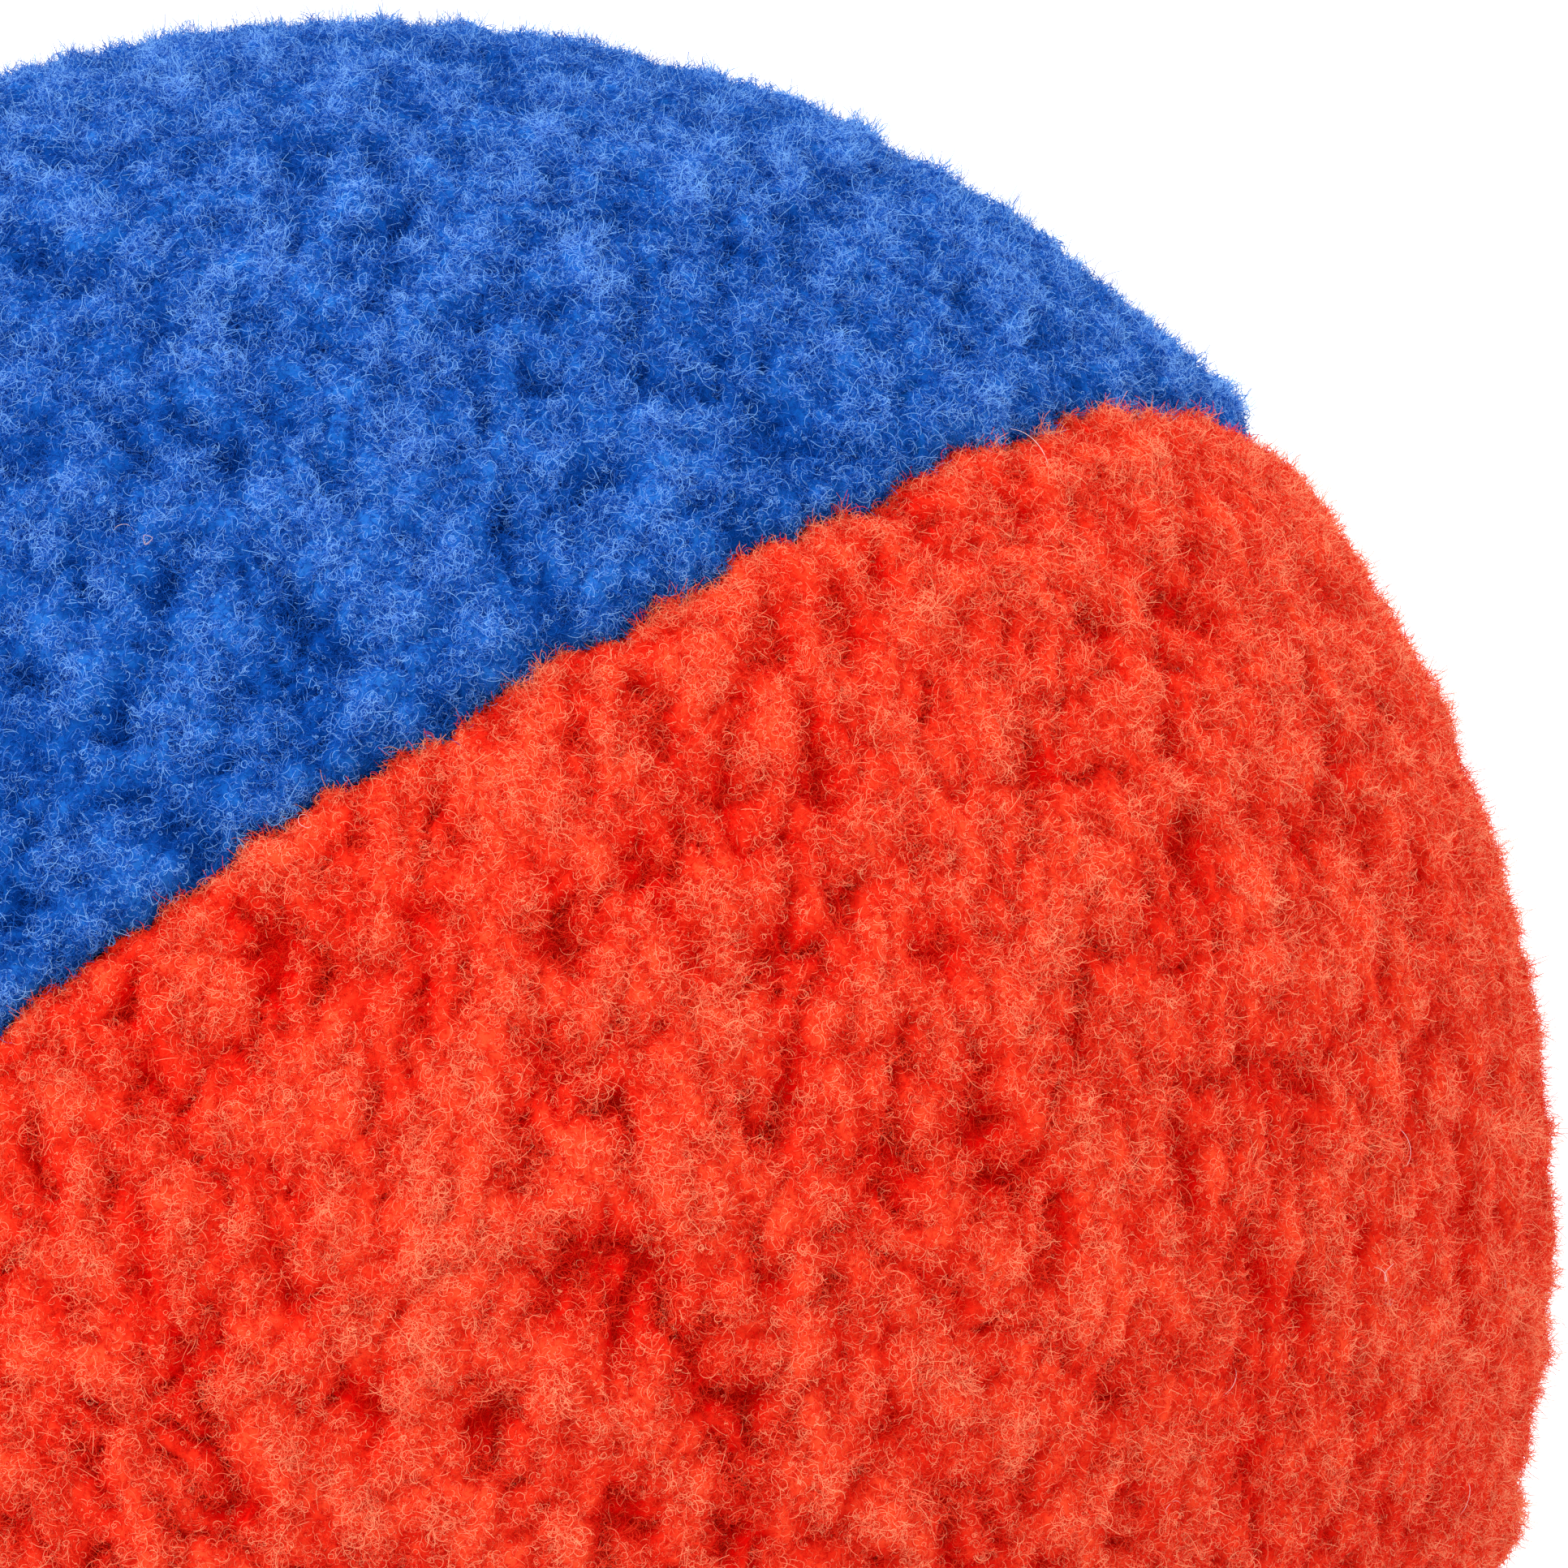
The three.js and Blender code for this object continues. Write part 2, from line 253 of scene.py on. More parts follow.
def grid_mesh(name, grid):
    """A closed mesh over a grid of points whose rows close on themselves, with its two ends closed."""
    stations, count = grid.shape[:2]
    here = np.arange(stations * count).reshape(stations, count)
    after = np.roll(here, -1, axis=1)
    quads = np.stack([here[:-1], here[1:], after[1:], after[:-1]], axis=-1).reshape(-1, 4)
    points = np.concatenate([grid.reshape(-1, 3), grid[0].mean(0)[None], grid[-1].mean(0)[None]])
    first_tip, last_tip = stations * count, stations * count + 1
    caps = [(here[0, i], after[0, i], first_tip) for i in range(count)]
    caps += [(after[-1, i], here[-1, i], last_tip) for i in range(count)]
    mesh = bpy.data.meshes.new(name)
    mesh.from_pydata((points + np.array(BALL_CENTRE)).tolist(), [], quads.tolist() + caps)
    mesh.shade_smooth()
    return mesh


def fleece_material(dye, shaded_dye, body, tip):
    """Brushed fleece: clumps whose colour goes from a dark one in the creases, which is painted shade,
    to a pale one on top, which is painted light, both set by the pile's height; with matted fibres,
    seen as fine curled streaks."""
    material = bpy.data.materials.new(f"{dye}_fleece")
    material.use_nodes = True
    nodes, links = material.node_tree.nodes, material.node_tree.links
    shader = nodes["Principled BSDF"]
    shader.inputs["Roughness"].default_value = 0.95
    shader.inputs["Specular IOR Level"].default_value = 0.03
    place = nodes.new("ShaderNodeTexCoord")
    matting = nodes.new("ShaderNodeTexNoise")
    matting.inputs["Scale"].default_value = 1 / (0.28 * MM)
    matting.inputs["Detail"].default_value = 5
    matting.inputs["Distortion"].default_value = 1.6
    blotches = nodes.new("ShaderNodeTexNoise")
    blotches.inputs["Scale"].default_value = 1 / (3.5 * MM)
    blotches.inputs["Detail"].default_value = 3
    height = nodes.new("ShaderNodeAttribute")
    height.attribute_name = "pile_height_shade"
    # Matting noise plus the pile's height; the height part paints shade in the creases and light on the
    # clumps.
    streaks = nodes.new("ShaderNodeMath")
    streaks.operation = "MULTIPLY_ADD"
    streaks.inputs[1].default_value = 0.5
    shade = nodes.new("ShaderNodeMath")
    shade.operation = "MULTIPLY_ADD"
    shade.inputs[1].default_value = 0.3
    # The ramp's dark end, in the creases, is painted shade; its pale tip end, on top of the clumps, is
    # painted light.
    ramp = nodes.new("ShaderNodeValToRGB")
    ramp.color_ramp.elements[0].position = 0.5
    ramp.color_ramp.elements[0].color = (*shaded_dye, 1)
    ramp.color_ramp.elements[1].color = (*tip, 1)
    ramp.color_ramp.elements.new(0.78).color = (*body, 1)
    bump = nodes.new("ShaderNodeBump")
    bump.inputs["Strength"].default_value = 0.7
    bump.inputs["Distance"].default_value = 0.12 * MM
    links.new(place.outputs["Object"], matting.inputs["Vector"])
    links.new(place.outputs["Object"], blotches.inputs["Vector"])
    links.new(matting.outputs["Fac"], streaks.inputs[0])
    links.new(height.outputs["Fac"], streaks.inputs[2])
    links.new(blotches.outputs["Fac"], shade.inputs[0])
    links.new(streaks.outputs[0], shade.inputs[2])
    links.new(shade.outputs[0], ramp.inputs["Fac"])
    links.new(ramp.outputs["Color"], shader.inputs["Base Color"])
    links.new(matting.outputs["Fac"], bump.inputs["Height"])
    links.new(bump.outputs["Normal"], shader.inputs["Normal"])
    return material


# Fleece colours: body is the dye; the dark colour for the creases is the dye under painted shade, and
# the pale tip colour for the tops of the clumps is painted light.
FLEECE_DYES_AND_SHADE = {
    "red": {"shaded_dye": (0.66, 0.002, 0.001), "body": (0.76, 0.028, 0.009), "tip": (0.83, 0.07, 0.023)},
    "blue": {"shaded_dye": (0.001, 0.05, 0.29), "body": (0.005, 0.085, 0.38), "tip": (0.016, 0.13, 0.48)},
}
NAPS = {"back": (0, 0.2, 1), "top": (0.75, 0.65, 0), "front": (0.1, 0.2, 1), "bottom": (0.6, 0.8, 0)}

# --- The pile -----------------------------------------------------------------------------------
# The fine polyester fibres that brushing has pulled out of the cloth. They are crimped, so they curl
# over each other into a felted fuzz, and a few stand clear of it.
FIBRES_PER_PANEL = 780_000
FIBRE_RADIUS = 0.0102 * MM
FIBRE_POINTS = 6
FIBRE_STEP = 0.11 * MM  # from point to point
FIBRE_ROOT = 0.02 * MM  # how far a fibre starts below the face
FIBRE_END = 0.55  # how thin it is at its end, as a share of its full radius
LINT_PER_PANEL = 24
LINT_STEP = 0.34 * MM
LOCK_SIZE = 0.8 * MM
PATCH_SIZE = 0.32 * MM


def fibre_material(name, root, body, tip):
    """Fibre that lets some light through. Each one has its own colour, from dark dye to pale; the
    colour is painted paler on the clumps and towards the fibre's end as painted light, and darker in
    the pits as painted shade, and the pale end of its range is a painted highlight.
    """
    material = bpy.data.materials.new(name)
    material.use_nodes = True
    nodes, links = material.node_tree.nodes, material.node_tree.links
    matt = nodes["Principled BSDF"]
    matt.inputs["Roughness"].default_value = 0.6
    matt.inputs["Specular IOR Level"].default_value = 0.12
    strand = nodes.new("ShaderNodeHairInfo")
    tone_and_shade = nodes.new("ShaderNodeAttribute")
    tone_and_shade.attribute_name = "tone_and_shade"
    # Along each fibre the colour moves a little towards the pale end: painted light towards the fibre's
    # end.
    paler = nodes.new("ShaderNodeMath")
    paler.operation = "MULTIPLY_ADD"
    paler.inputs[1].default_value = 0.15
    ramp = nodes.new("ShaderNodeValToRGB")
    ramp.color_ramp.elements[0].color = (*root, 1)
    ramp.color_ramp.elements[1].color = (*tip, 1)
    ramp.color_ramp.elements.new(0.5).color = (*body, 1)
    glow = nodes.new("ShaderNodeBsdfTranslucent")
    both = nodes.new("ShaderNodeMixShader")
    both.inputs["Fac"].default_value = 0.4
    links.new(strand.outputs["Intercept"], paler.inputs[0])
    links.new(tone_and_shade.outputs["Fac"], paler.inputs[2])
    links.new(paler.outputs[0], ramp.inputs["Fac"])
    links.new(ramp.outputs["Color"], glow.inputs["Color"])
    links.new(ramp.outputs["Color"], matt.inputs["Base Color"])
    links.new(matt.outputs[0], both.inputs[1])
    links.new(glow.outputs[0], both.inputs[2])
    links.new(both.outputs[0], nodes["Material Output"].inputs["Surface"])
    return material


def pile(name, face, proud, material, seed, count, stride, radius):
    """Fibres that start in a panel's face, rise, and curl over, each in its own direction. More of
    them stand on the clumps than in the pits; those on the clumps are painted paler, as painted light,
    and those in the pits darker, as painted shade. Here and there a lock of them is longer and stands
    up more."""
    draw = np.random.default_rng(seed)
    a, b, c, d = face[:-1, :-1], face[1:, :-1], face[1:, 1:], face[:-1, 1:]
    across = np.cross(b - a, d - a)
    area = np.linalg.norm(across, axis=2)
    proud = proud[:-1, :-1].ravel()
    share = np.cumsum(area.ravel() * np.clip(0.95 + 0.25 * proud, 0.65, 1.3))
    pick = np.searchsorted(share / share[-1], draw.random(count))
    u, v = draw.random((2, count, 1))
    corner = [grid.reshape(-1, 3)[pick] for grid in (a, b, c, d)]
    root = (corner[0] * (1 - u) + corner[1] * u) * (1 - v) + (corner[3] * (1 - u) + corner[2] * u) * v
    normal = root / np.linalg.norm(root, axis=1, keepdims=True)
    slope = (across / np.maximum(area, 1e-16)[..., None]).reshape(-1, 3)[pick]
    slope *= np.sign(np.sum(slope * normal, axis=1, keepdims=True))
    up = normal + 0.8 * slope
    up /= np.linalg.norm(up, axis=1, keepdims=True)
    side = np.cross(up, draw.normal(size=root.shape))
    side /= np.linalg.norm(side, axis=1, keepdims=True)
    other = np.cross(up, side)
    lock = gradient_noise(root / LOCK_SIZE, seed + 7)[:, None]
    rise = draw.uniform(0.05, 0.9, (count, 1)) + 0.6 * np.maximum(lock, -0.3)
    heading = draw.uniform(0, 2 * math.pi, (count, 1))
    curl = draw.normal(0, 1.1, (count, 1))
    fall = draw.normal(0.25, 0.22, (count, 1))
    step = stride * draw.uniform(0.5, 1.2, (count, 1)) * np.maximum(1 + 0.8 * lock, 0.8)
    points = [root - FIBRE_ROOT * up]
    for i in range(FIBRE_POINTS - 1):
        turned = heading + curl * i
        flat = np.cos(turned) * side + np.sin(turned) * other
        lift = rise - fall * i
        points.append(points[-1] + step * (np.cos(lift) * flat + np.sin(lift) * up))
    strands = bpy.data.hair_curves.new(name)
    strands.add_curves([FIBRE_POINTS] * count)
    places = np.stack(points, axis=1) + np.array(BALL_CENTRE)
    strands.attributes["position"].data.foreach_set("vector", places.astype(np.float32).ravel())
    thickness = np.tile(np.linspace(1, FIBRE_END, FIBRE_POINTS), count) * radius
    widths = strands.attributes.get("radius") or strands.attributes.new("radius", "FLOAT", "POINT")
    widths.data.foreach_set("value", thickness.astype(np.float32))
    patches = gradient_noise(root / PATCH_SIZE, seed + 8)
    # Each fibre's colour: the pile-height part paints fibres on the clumps paler, as painted light, and
    # those in the pits darker, as painted shade; the lock, patch and random parts vary it from fibre to
    # fibre.
    tone_and_shade = 0.42 + 0.3 * proud[pick] + 0.12 * lock[:, 0] + 0.26 * patches
    tone_and_shade = tone_and_shade + 0.32 * draw.normal(size=count)
    tones = strands.attributes.new("tone_and_shade", "FLOAT", "CURVE")
    tones.data.foreach_set("value", np.clip(tone_and_shade, 0, 1).astype(np.float32))
    strands.materials.append(material)
    return bpy.data.objects.new(name, strands)


# Fibre colours: body is the dye; root, the darkest, is the dye under painted shade, for fibres in the
# pits and some at random; the pale tip is a painted highlight, standing in for the fibres' shine.
FIBRE_DYES_AND_SHADE = {
    "red": {"root": (0.7, 0.001, 0.0005), "body": (0.87, 0.06, 0.018), "tip": (0.97, 0.41, 0.22)},
    "blue": {"root": (0.001, 0.06, 0.35), "body": (0.009, 0.15, 0.62), "tip": (0.27, 0.57, 0.98)},
}
fleece = {dye: fleece_material(dye, **tones) for dye, tones in FLEECE_DYES_AND_SHADE.items()}
fibre = {dye: fibre_material(f"{dye}_fibre", **tones) for dye, tones in FIBRE_DYES_AND_SHADE.items()}
lint_colour = fibre_material("lint", (0.75, 0.45, 0.42), (0.85, 0.6, 0.58), (0.9, 0.75, 0.74))

for number, (side, panel) in enumerate(PANELS.items()):
    nap = np.array(NAPS[side]) / np.linalg.norm(NAPS[side])
    skin, face, proud = panel_surface(panel["facing"], nap, seed=10 * number + 1)
    cover = bpy.data.objects.new(f"fleece_{side}", grid_mesh(f"fleece_{side}", skin))
    cover.data.materials.append(fleece[panel["dye"]])
    height = np.zeros(len(cover.data.vertices), np.float32)
    stood = height[: skin[..., 0].size].reshape(skin.shape[:2])
    # The pile's height, kept for the fleece colour, where it paints shade in the creases and light on
    # the clumps.
    stood[:, : face.shape[1]] = np.clip(0.45 + 0.5 * proud, 0, 1)
    attribute = cover.data.attributes.new("pile_height_shade", "FLOAT", "POINT")
    attribute.data.foreach_set("value", height)
    bpy.context.collection.objects.link(cover)
    dyed = fibre[panel["dye"]]
    seed = 100 + 2 * number
    fuzz = pile(f"pile_{side}", face, proud, dyed, seed, FIBRES_PER_PANEL, FIBRE_STEP, FIBRE_RADIUS)
    lint = pile(
        f"lint_{side}", face, proud, lint_colour, seed + 1, LINT_PER_PANEL, LINT_STEP, FIBRE_RADIUS)
    for strands in (fuzz, lint):
        strands.parent = cover
        bpy.context.collection.objects.link(strands)
    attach(cover, "root")
    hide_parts(f"cover_panel_{side}")

# --- The cover's sewing thread ------------------------------------------------------------------
# Dark blue spun polyester, two plies twisted together. It runs down each seam from stitch to stitch,
# swaying a little from one folded edge to the other, and is hidden by the pile.
THREAD_RADIUS = 0.25 * MM
THREAD_TWIST = 1.1 * MM  # along the thread, for one full turn of its plies
THREAD_STEP = 0.07 * MM
THREAD_TIP = 1.5 * MM  # the seams start this far from the line through the poles
CLOSING_LENGTH = 32 * MM
CLOSING_GAP = 1 * MM
CLOSING_STITCH = 3.2 * MM
KNOT_TURNS = 2.5
KNOT_POINTS = 90
PLY_SIDES = 8
COVER_THROW = 0.14 * MM  # how far each stitch throws the thread to one side
THREAD_WAVE = 0.1 * MM


def spun_thread(name, route, radius, twist):
    """A mesh of two round plies, twisted about each other along a route of points."""
    along = np.gradient(route, axis=0)
    along /= np.linalg.norm(along, axis=1, keepdims=True)
    out = route / np.linalg.norm(route, axis=1, keepdims=True)
    side = np.cross(along, out)
    side /= np.linalg.norm(side, axis=1, keepdims=True)
    up = np.cross(side, along)
    walked = np.concatenate([[0], np.cumsum(np.linalg.norm(np.diff(route, axis=0), axis=1))])
    turn = (walked * 2 * math.pi / twist)[:, None]
    around = np.linspace(0, 2 * math.pi, PLY_SIDES, endpoint=False)
    points, faces = [], []
    for start in (0, math.pi):
        heart = route + 0.48 * radius * (np.cos(turn + start) * side + np.sin(turn + start) * up)
        rim = np.cos(around)[None, :, None] * side[:, None]
        rim = rim + np.sin(around)[None, :, None] * up[:, None]
        fuzz = 1 + 0.07 * gradient_noise((heart / (0.5 * MM)).astype(np.float32), 71)[:, None, None]
        first = len(points)
        points.extend((heart[:, None] + 0.52 * radius * fuzz * rim).reshape(-1, 3))
        here = first + np.arange(len(route) * PLY_SIDES).reshape(len(route), PLY_SIDES)
        after = np.roll(here, -1, axis=1)
        faces += np.stack([here[:-1], after[:-1], after[1:], here[1:]], axis=-1).reshape(-1, 4).tolist()
        faces += [here[0, ::-1].tolist(), here[-1].tolist()]
    mesh = bpy.data.meshes.new(name)
    mesh.from_pydata((np.array(points) + np.array(BALL_CENTRE)).tolist(), [], faces)
    mesh.shade_smooth()
    return mesh


def seam_route(seam, depth, start, end, stitch, throw):
    """The points of a thread down a seam. It is thrown from side to side once in each stitch."""
    count = int((end - start) * (BALL_RADIUS - depth) / THREAD_STEP)
    polar = np.linspace(start, end, count)
    along = polar * (BALL_RADIUS - depth)
    swing = np.sin(along * 2 * math.pi / stitch)
    around = seam_angle(seam, polar) + throw * swing / ((BALL_RADIUS - depth) * np.sin(polar))
    sunk = depth + THREAD_WAVE * np.cos(along * 4 * math.pi / stitch)
    out = direction_of(polar, around)
    return out * settled(out, sunk)[:, None]


def knotted(route, size):
    """The route with a small knot of a few tight turns at each of its ends."""
    for _ in range(2):
        turn = np.linspace(0, KNOT_TURNS * 2 * math.pi, KNOT_POINTS)[:, None]
        out = route[0] / np.linalg.norm(route[0])
        along = route[6] - route[0]
        along /= np.linalg.norm(along)
        side = np.cross(out, along)
        swell = np.sin(np.linspace(0, math.pi, KNOT_POINTS))[:, None]
        loops = route[0] + size * swell * (np.cos(turn) * side + np.sin(turn) * out)
        loops += along * (turn / turn[-1] - 1) * 1.2 * size
        route = np.concatenate([loops, route[1:]])[::-1]
    return route


def thread_material(name, dark, light):
    """Spun yarn: fine fibres that wind round it, in two tones, with a soft shine."""
    material = bpy.data.materials.new(name)
    material.use_nodes = True
    nodes, links = material.node_tree.nodes, material.node_tree.links
    shader = nodes["Principled BSDF"]
    shader.inputs["Roughness"].default_value = 0.6
    shader.inputs["Sheen Weight"].default_value = 0.3
    place = nodes.new("ShaderNodeTexCoord")
    fibres = nodes.new("ShaderNodeTexNoise")
    fibres.inputs["Scale"].default_value = 1 / (0.09 * MM)
    fibres.inputs["Detail"].default_value = 4
    fibres.inputs["Distortion"].default_value = 1.2
    ramp = nodes.new("ShaderNodeValToRGB")
    ramp.color_ramp.elements[0].position = 0.35
    ramp.color_ramp.elements[0].color = (*dark, 1)
    ramp.color_ramp.elements[1].position = 0.7
    ramp.color_ramp.elements[1].color = (*light, 1)
    bump = nodes.new("ShaderNodeBump")
    bump.inputs["Strength"].default_value = 0.5
    bump.inputs["Distance"].default_value = 0.03 * MM
    links.new(place.outputs["Object"], fibres.inputs["Vector"])
    links.new(fibres.outputs["Fac"], ramp.inputs["Fac"])
    links.new(ramp.outputs["Color"], shader.inputs["Base Color"])
    links.new(fibres.outputs["Fac"], bump.inputs["Height"])
    links.new(bump.outputs["Normal"], shader.inputs["Normal"])
    return material


def sew_layer(layer, depth, tip, radius, throw, material):
    """The four machine-sewn threads of a layer, and the hand-sewn one that closes its last seam."""
    reach = BALL_RADIUS - depth
    first = 2 * tip / reach
    closed = first + CLOSING_LENGTH / reach
    sides = list(PANELS)
    for i, side in enumerate(sides):
        seam = PANELS[side]["facing"] + EIGHTH
        start = closed + CLOSING_GAP / reach if side == "bottom" else first
        route = seam_route(seam, depth, start, math.pi - first, STITCH_LENGTH, throw)
        routes = {f"{layer}_thread_{side}_{sides[(i + 1) % 4]}": route}
        if side == "bottom":
            by_hand = seam_route(seam, depth, first, closed, CLOSING_STITCH, 1.6 * throw)
            routes[f"{layer}_closing_thread"] = knotted(by_hand, 1.3 * radius)
        for name, path in routes.items():
            thread = bpy.data.objects.new(f"spun_{name}", spun_thread(name, path, radius, THREAD_TWIST))
            thread.data.materials.append(material)
            bpy.context.collection.objects.link(thread)
            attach(thread, "root")
            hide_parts(name)


blue_thread = thread_material("blue_thread", (0.006, 0.012, 0.07), (0.03, 0.05, 0.2))
sew_layer("cover", THREAD_DEPTH, THREAD_TIP, THREAD_RADIUS, COVER_THROW, blue_thread)

# --- The inner bag ------------------------------------------------------------------------------
# Four smaller panels of undyed cotton in a close plain weave, sewn the same way. The bag dips behind
# the cover's folded edges and bulges between them, and it puckers along its seams.
BAG_DEPTH = 2.9 * MM  # from the ball's outside to the bag's, in the middle of a panel
BAG_SEAM_DEPTH = 4.3 * MM
BAG_THICKNESS = 0.5 * MM
BAG_ALLOWANCE = 3.2 * MM
BAG_GAP = 0.3 * MM  # from the seam to a panel's folded edge, on each side
BAG_TIP = 2 * MM
BAG_DIP_END = 6 * MM  # how far from the seam the bag starts to bulge
BAG_STEPS = 96
PUCKER_LENGTH = 2.6 * MM
PUCKER_HEIGHT = 0.12 * MM
PUCKER_REACH = 2.5 * MM
CREASE_SIZE = 5 * MM


def ease(value, low, high):
    """From 0 at low to 1 at high, smoothly."""
    share = np.clip((value - low) / (high - low), 0, 1)
    return share * share * (3 - 2 * share)


def bag_surface(facing, seed):
    """A bag panel's skin: its outer side from seam to seam, and its inner side back again."""
    first = math.asin(BAG_TIP / BALL_RADIUS)
    polar = np.linspace(first, math.pi - first, 2 * BAG_STEPS + 1)[:, None]
    rho = (BALL_RADIUS - BAG_SEAM_DEPTH) * np.sin(polar)
    left = seam_angle(facing - EIGHTH, polar) + np.arcsin(BAG_GAP / rho)
    right = seam_angle(facing + EIGHTH, polar) - np.arcsin(BAG_GAP / rho)
    middle, half = (left + right) / 2, (right - left) / 2
    share = np.linspace(-1, 1, BAG_STEPS + 1)[None, :]
    narrow = np.minimum(1, 0.85 * half * rho / (1.3 * BAG_DIP_END))
    from_seam = (1 - np.abs(share)) * half * rho / narrow
    bulge = ease(from_seam, BAG_DIP_END - 0.4 * MM, 1.3 * BAG_DIP_END)
    depth = BAG_SEAM_DEPTH + (BAG_DEPTH - BAG_SEAM_DEPTH) * bulge
    along = polar * BALL_RADIUS
    pucker = np.cos(along * 2 * math.pi / PUCKER_LENGTH + 4 * np.sin(share * 3 + facing))
    out = direction_of(polar, middle + share * half)
    creases = gradient_noise((out * BALL_RADIUS / CREASE_SIZE).reshape(-1, 3), seed)
    ruffle = PUCKER_HEIGHT * (pucker * np.exp(-from_seam / PUCKER_REACH) + creases.reshape(depth.shape))
    fold = BAG_THICKNESS * (1 - ease(from_seam, BAG_ALLOWANCE, BAG_ALLOWANCE + 0.5 * MM))
    outer = out * settled(out, depth + 0.5 * ruffle)[..., None]
    inner = out * settled(out, depth + ruffle + BAG_THICKNESS + fold)[..., None]
    grid = np.concatenate([outer, inner[:, ::-1]], axis=1)
    across = np.broadcast_to(share * half * rho, depth.shape)
    cut = np.stack(np.broadcast_arrays(across, along, 0 * across), axis=-1)
    return grid, np.concatenate([cut, cut[:, ::-1]], axis=1)


def weave_material(dark, light):
    """Plain weave: warp and weft cross every third of a millimetre, with uneven threads."""
    material = bpy.data.materials.new("plain_weave")
    material.use_nodes = True
    nodes, links = material.node_tree.nodes, material.node_tree.links
    shader = nodes["Principled BSDF"]
    shader.inputs["Roughness"].default_value = 0.85
    shader.inputs["Sheen Weight"].default_value = 0.15
    cloth = nodes.new("ShaderNodeAttribute")
    cloth.attribute_name = "cloth"
    waves = []
    for direction in ("X", "Y"):
        wave = nodes.new("ShaderNodeTexWave")
        wave.bands_direction = direction
        wave.inputs["Scale"].default_value = 1 / (1.9 * MM)
        wave.inputs["Distortion"].default_value = 0.6
        wave.inputs["Detail"].default_value = 2
        links.new(cloth.outputs["Vector"], wave.inputs["Vector"])
        waves.append(wave)
    crossing = nodes.new("ShaderNodeMath")
    crossing.operation = "MULTIPLY"
    slubs = nodes.new("ShaderNodeTexNoise")
    slubs.inputs["Scale"].default_value = 1 / (1.5 * MM)
    slubs.inputs["Detail"].default_value = 6
    mixed = nodes.new("ShaderNodeMath")
    mixed.operation = "MULTIPLY_ADD"
    mixed.inputs[1].default_value = 0.5
    ramp = nodes.new("ShaderNodeValToRGB")
    ramp.color_ramp.elements[0].position = 0.3
    ramp.color_ramp.elements[0].color = (*dark, 1)
    ramp.color_ramp.elements[1].position = 0.8
    ramp.color_ramp.elements[1].color = (*light, 1)
    bump = nodes.new("ShaderNodeBump")
    bump.inputs["Strength"].default_value = 0.6
    bump.inputs["Distance"].default_value = 0.08 * MM
    links.new(waves[0].outputs["Fac"], crossing.inputs[0])
    links.new(waves[1].outputs["Fac"], crossing.inputs[1])
    links.new(crossing.outputs[0], mixed.inputs[0])
    links.new(slubs.outputs["Fac"], mixed.inputs[2])
    links.new(cloth.outputs["Vector"], slubs.inputs["Vector"])
    links.new(mixed.outputs[0], ramp.inputs["Fac"])
    links.new(ramp.outputs["Color"], shader.inputs["Base Color"])
    links.new(crossing.outputs[0], bump.inputs["Height"])
    links.new(bump.outputs["Normal"], shader.inputs["Normal"])
    return material


weave = weave_material((0.5, 0.44, 0.33), (0.8, 0.75, 0.63))
for number, (side, panel) in enumerate(PANELS.items()):
    skin, cut = bag_surface(panel["facing"], seed=61 + number)
    bag = bpy.data.objects.new(f"cotton_{side}", grid_mesh(f"cotton_{side}", skin))
    bag.data.materials.append(weave)
    cloth = np.zeros((len(bag.data.vertices), 3), np.float32)
    cloth[: cut.size // 3] = cut.reshape(-1, 3)
    attribute = bag.data.attributes.new("cloth", "FLOAT_VECTOR", "POINT")
    attribute.data.foreach_set("vector", cloth.ravel())
    bpy.context.collection.objects.link(bag)
    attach(bag, "root")
    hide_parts(f"bag_panel_{side}")

# --- The bag's sewing thread --------------------------------------------------------------------
# Off-white spun polyester, thinner than the cover's, sewn and closed in the same way.
BAG_THREAD_RADIUS = 0.2 * MM
BAG_THREAD_DEPTH = 4.8 * MM
BAG_THROW = 0.1 * MM
white_thread = thread_material("white_thread", (0.62, 0.58, 0.5), (0.88, 0.86, 0.8))
sew_layer("bag", BAG_THREAD_DEPTH, BAG_TIP, BAG_THREAD_RADIUS, BAG_THROW, white_thread)

# --- The grain ----------------------------------------------------------------------------------
# Hulled millet, a few thousand smooth seeds about two millimetres across, packed against the bag.
GRAIN_DEPTH = 3.9 * MM
GRAIN_SEAM_DEPTH = 5.8 * MM
SEED_COUNT = 2600
SEED_RADIUS = 1.0 * MM
SEED_RELIEF = 0.55 * MM
SEED_SHAKE = 0.009  # how far the seeds lie off their even places, as a share of the ball's radius
GRAIN_STEPS = 220
GRAIN_TIP = 0.004  # the angle at which the mesh starts beside each pole

grain_polar = np.linspace(GRAIN_TIP, math.pi - GRAIN_TIP, GRAIN_STEPS + 1)[:, None]
grain_around = np.linspace(0, 2 * math.pi, 2 * GRAIN_STEPS, endpoint=False)[None, :]
grain_out = direction_of(grain_polar, grain_around)
from_seam_angle = np.abs((grain_around % QUARTER) - EIGHTH)
from_seam = (BALL_RADIUS - GRAIN_SEAM_DEPTH) * np.sin(grain_polar) * from_seam_angle
bulge = ease(from_seam, BAG_DIP_END, 1.4 * BAG_DIP_END)
sunk = GRAIN_SEAM_DEPTH + (GRAIN_DEPTH - GRAIN_SEAM_DEPTH) * bulge

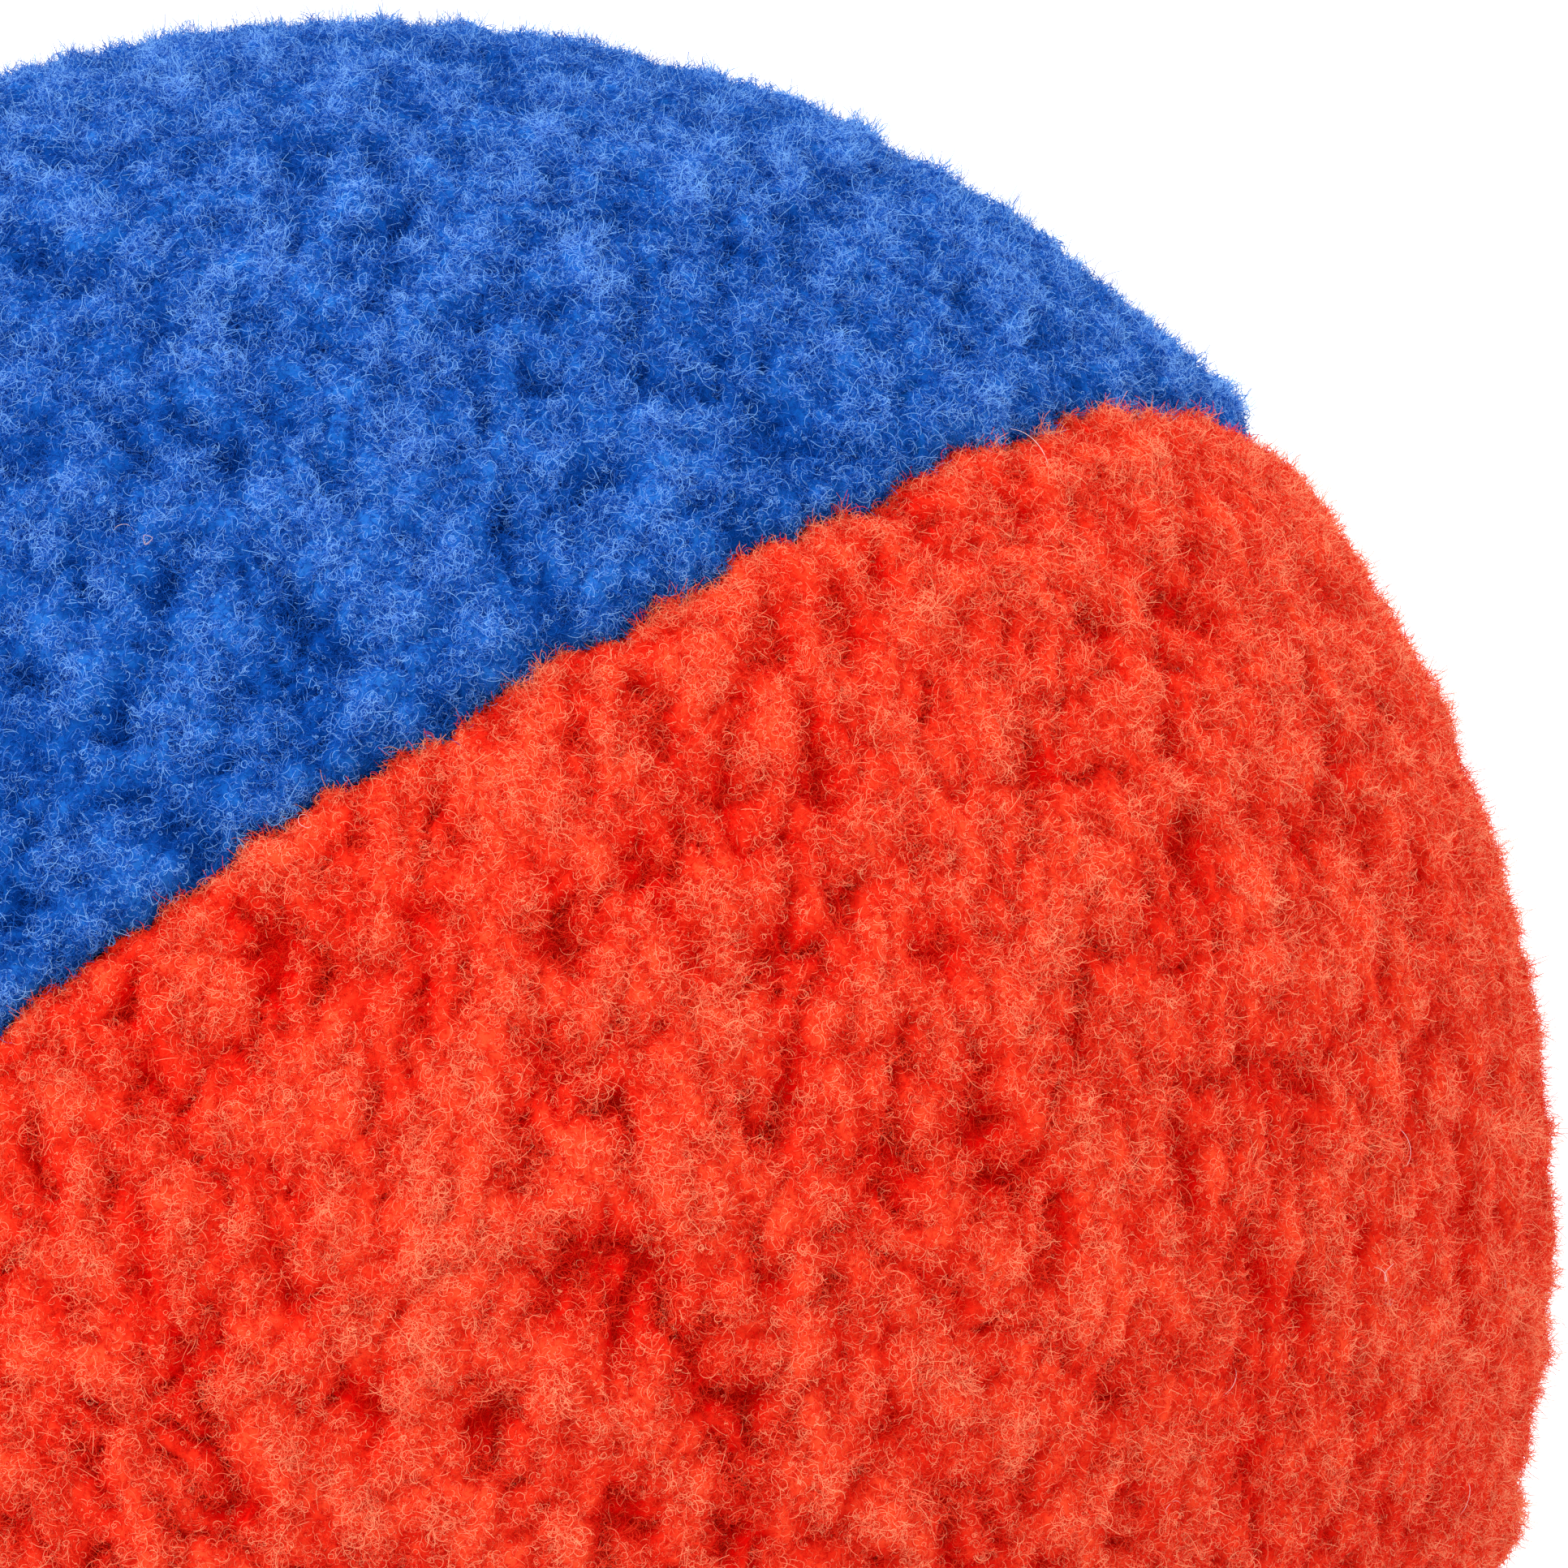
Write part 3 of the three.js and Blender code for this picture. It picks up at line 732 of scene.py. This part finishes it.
golden = math.pi * (3 - math.sqrt(5))
order = np.arange(SEED_COUNT)
seed_z = 1 - (2 * order + 1) / SEED_COUNT
seed_flat = np.sqrt(1 - seed_z**2)
seed_x = seed_flat * np.cos(golden * order)
seed_y = seed_flat * np.sin(golden * order)
seed_out = np.stack([seed_x, seed_y, seed_z], axis=1)
shake = np.random.default_rng(5)
seed_out += shake.normal(0, SEED_SHAKE, seed_out.shape)
seed_out /= np.linalg.norm(seed_out, axis=1, keepdims=True)
seed_tree = KDTree(SEED_COUNT)
for index, place in enumerate(seed_out):
    seed_tree.insert(place, index)
seed_tree.balance()
flat_out = grain_out.reshape(-1, 3)
nearest = [seed_tree.find(place)[1:] for place in flat_out]
which = np.array([index for index, _ in nearest])
off_centre = np.array([distance for _, distance in nearest]) * (BALL_RADIUS - GRAIN_DEPTH)
plump = shake.uniform(0.85, 1.0, SEED_COUNT)[which]
dome = np.sqrt(np.maximum(1 - (off_centre / (SEED_RADIUS * plump)) ** 2, 0)).reshape(sunk.shape)
sunk = sunk + SEED_RELIEF * (1 - dome) * ease(np.sin(grain_polar), 0, 0.05)
grain_skin = grain_out * settled(grain_out, sunk)[..., None]


def millet_material(dark, light):
    """Smooth hulled millet: each seed has its own shade of straw yellow, and a faint shine."""
    material = bpy.data.materials.new("millet")
    material.use_nodes = True
    nodes, links = material.node_tree.nodes, material.node_tree.links
    shader = nodes["Principled BSDF"]
    shader.inputs["Roughness"].default_value = 0.45
    shader.inputs["Subsurface Weight"].default_value = 0.1
    shader.inputs["Subsurface Scale"].default_value = 0.5 * MM
    shade = nodes.new("ShaderNodeAttribute")
    shade.attribute_name = "seed_shade"
    place = nodes.new("ShaderNodeTexCoord")
    flecks = nodes.new("ShaderNodeTexNoise")
    flecks.inputs["Scale"].default_value = 1 / (0.4 * MM)
    flecks.inputs["Detail"].default_value = 4
    mixed = nodes.new("ShaderNodeMath")
    mixed.operation = "MULTIPLY_ADD"
    mixed.inputs[1].default_value = 0.4
    ramp = nodes.new("ShaderNodeValToRGB")
    ramp.color_ramp.elements[0].position = 0.2
    ramp.color_ramp.elements[0].color = (*dark, 1)
    ramp.color_ramp.elements[1].color = (*light, 1)
    bump = nodes.new("ShaderNodeBump")
    bump.inputs["Strength"].default_value = 0.25
    bump.inputs["Distance"].default_value = 0.05 * MM
    links.new(place.outputs["Object"], flecks.inputs["Vector"])
    links.new(flecks.outputs["Fac"], mixed.inputs[0])
    links.new(shade.outputs["Fac"], mixed.inputs[2])
    links.new(mixed.outputs[0], ramp.inputs["Fac"])
    links.new(ramp.outputs["Color"], shader.inputs["Base Color"])
    links.new(flecks.outputs["Fac"], bump.inputs["Height"])
    links.new(bump.outputs["Normal"], shader.inputs["Normal"])
    return material


grain = bpy.data.objects.new("millet_fill", grid_mesh("millet_fill", grain_skin))
grain.data.materials.append(millet_material((0.42, 0.24, 0.06), (0.85, 0.62, 0.25)))
seed_shade = np.zeros(len(grain.data.vertices), np.float32)
seed_shade[: which.size] = shake.uniform(0, 0.8, SEED_COUNT)[which]
attribute = grain.data.attributes.new("seed_shade", "FLOAT", "POINT")
attribute.data.foreach_set("value", seed_shade)
bpy.context.collection.objects.link(grain)
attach(grain, "root")
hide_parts("grain_fill")

# --- The table and the light --------------------------------------------------------------------
# A plain white surface, an even white room, and one broad soft light from the upper left.
FLOOR_REACH = 6
floor_corners = [(x * FLOOR_REACH, y * FLOOR_REACH, 0) for x, y in ((-1, -1), (1, -1), (1, 1), (-1, 1))]
floor_mesh = bpy.data.meshes.new("floor")
floor_mesh.from_pydata(floor_corners, [], [(0, 1, 2, 3)])
floor = bpy.data.objects.new("floor", floor_mesh)
floor_material = bpy.data.materials.new("white_table")
floor_material.use_nodes = True
floor_shader = floor_material.node_tree.nodes["Principled BSDF"]
floor_shader.inputs["Base Color"].default_value = (0.9, 0.9, 0.9, 1)
floor_shader.inputs["Roughness"].default_value = 0.8
floor_shader.inputs["Specular IOR Level"].default_value = 0.1
floor_mesh.materials.append(floor_material)
bpy.context.collection.objects.link(floor)

room = bpy.data.worlds.new("room")
room.use_nodes = True
room.node_tree.nodes["Background"].inputs["Color"].default_value = (1, 1, 1, 1)
room.node_tree.nodes["Background"].inputs["Strength"].default_value = 1.1
bpy.context.scene.world = room
sun_data = bpy.data.lights.new("softbox", "SUN")
sun_data.energy = 2.2
sun_data.angle = math.radians(50)
softbox = bpy.data.objects.new("softbox", sun_data)
towards_light = -0.5 * camera_right + 0.9 * camera_up + 0.75 * towards_camera
softbox.rotation_euler = towards_light.to_track_quat("Z", "Y").to_euler()
bpy.context.collection.objects.link(softbox)
bpy.context.scene.view_settings.view_transform = "Standard"

bpy.context.view_layer.update()
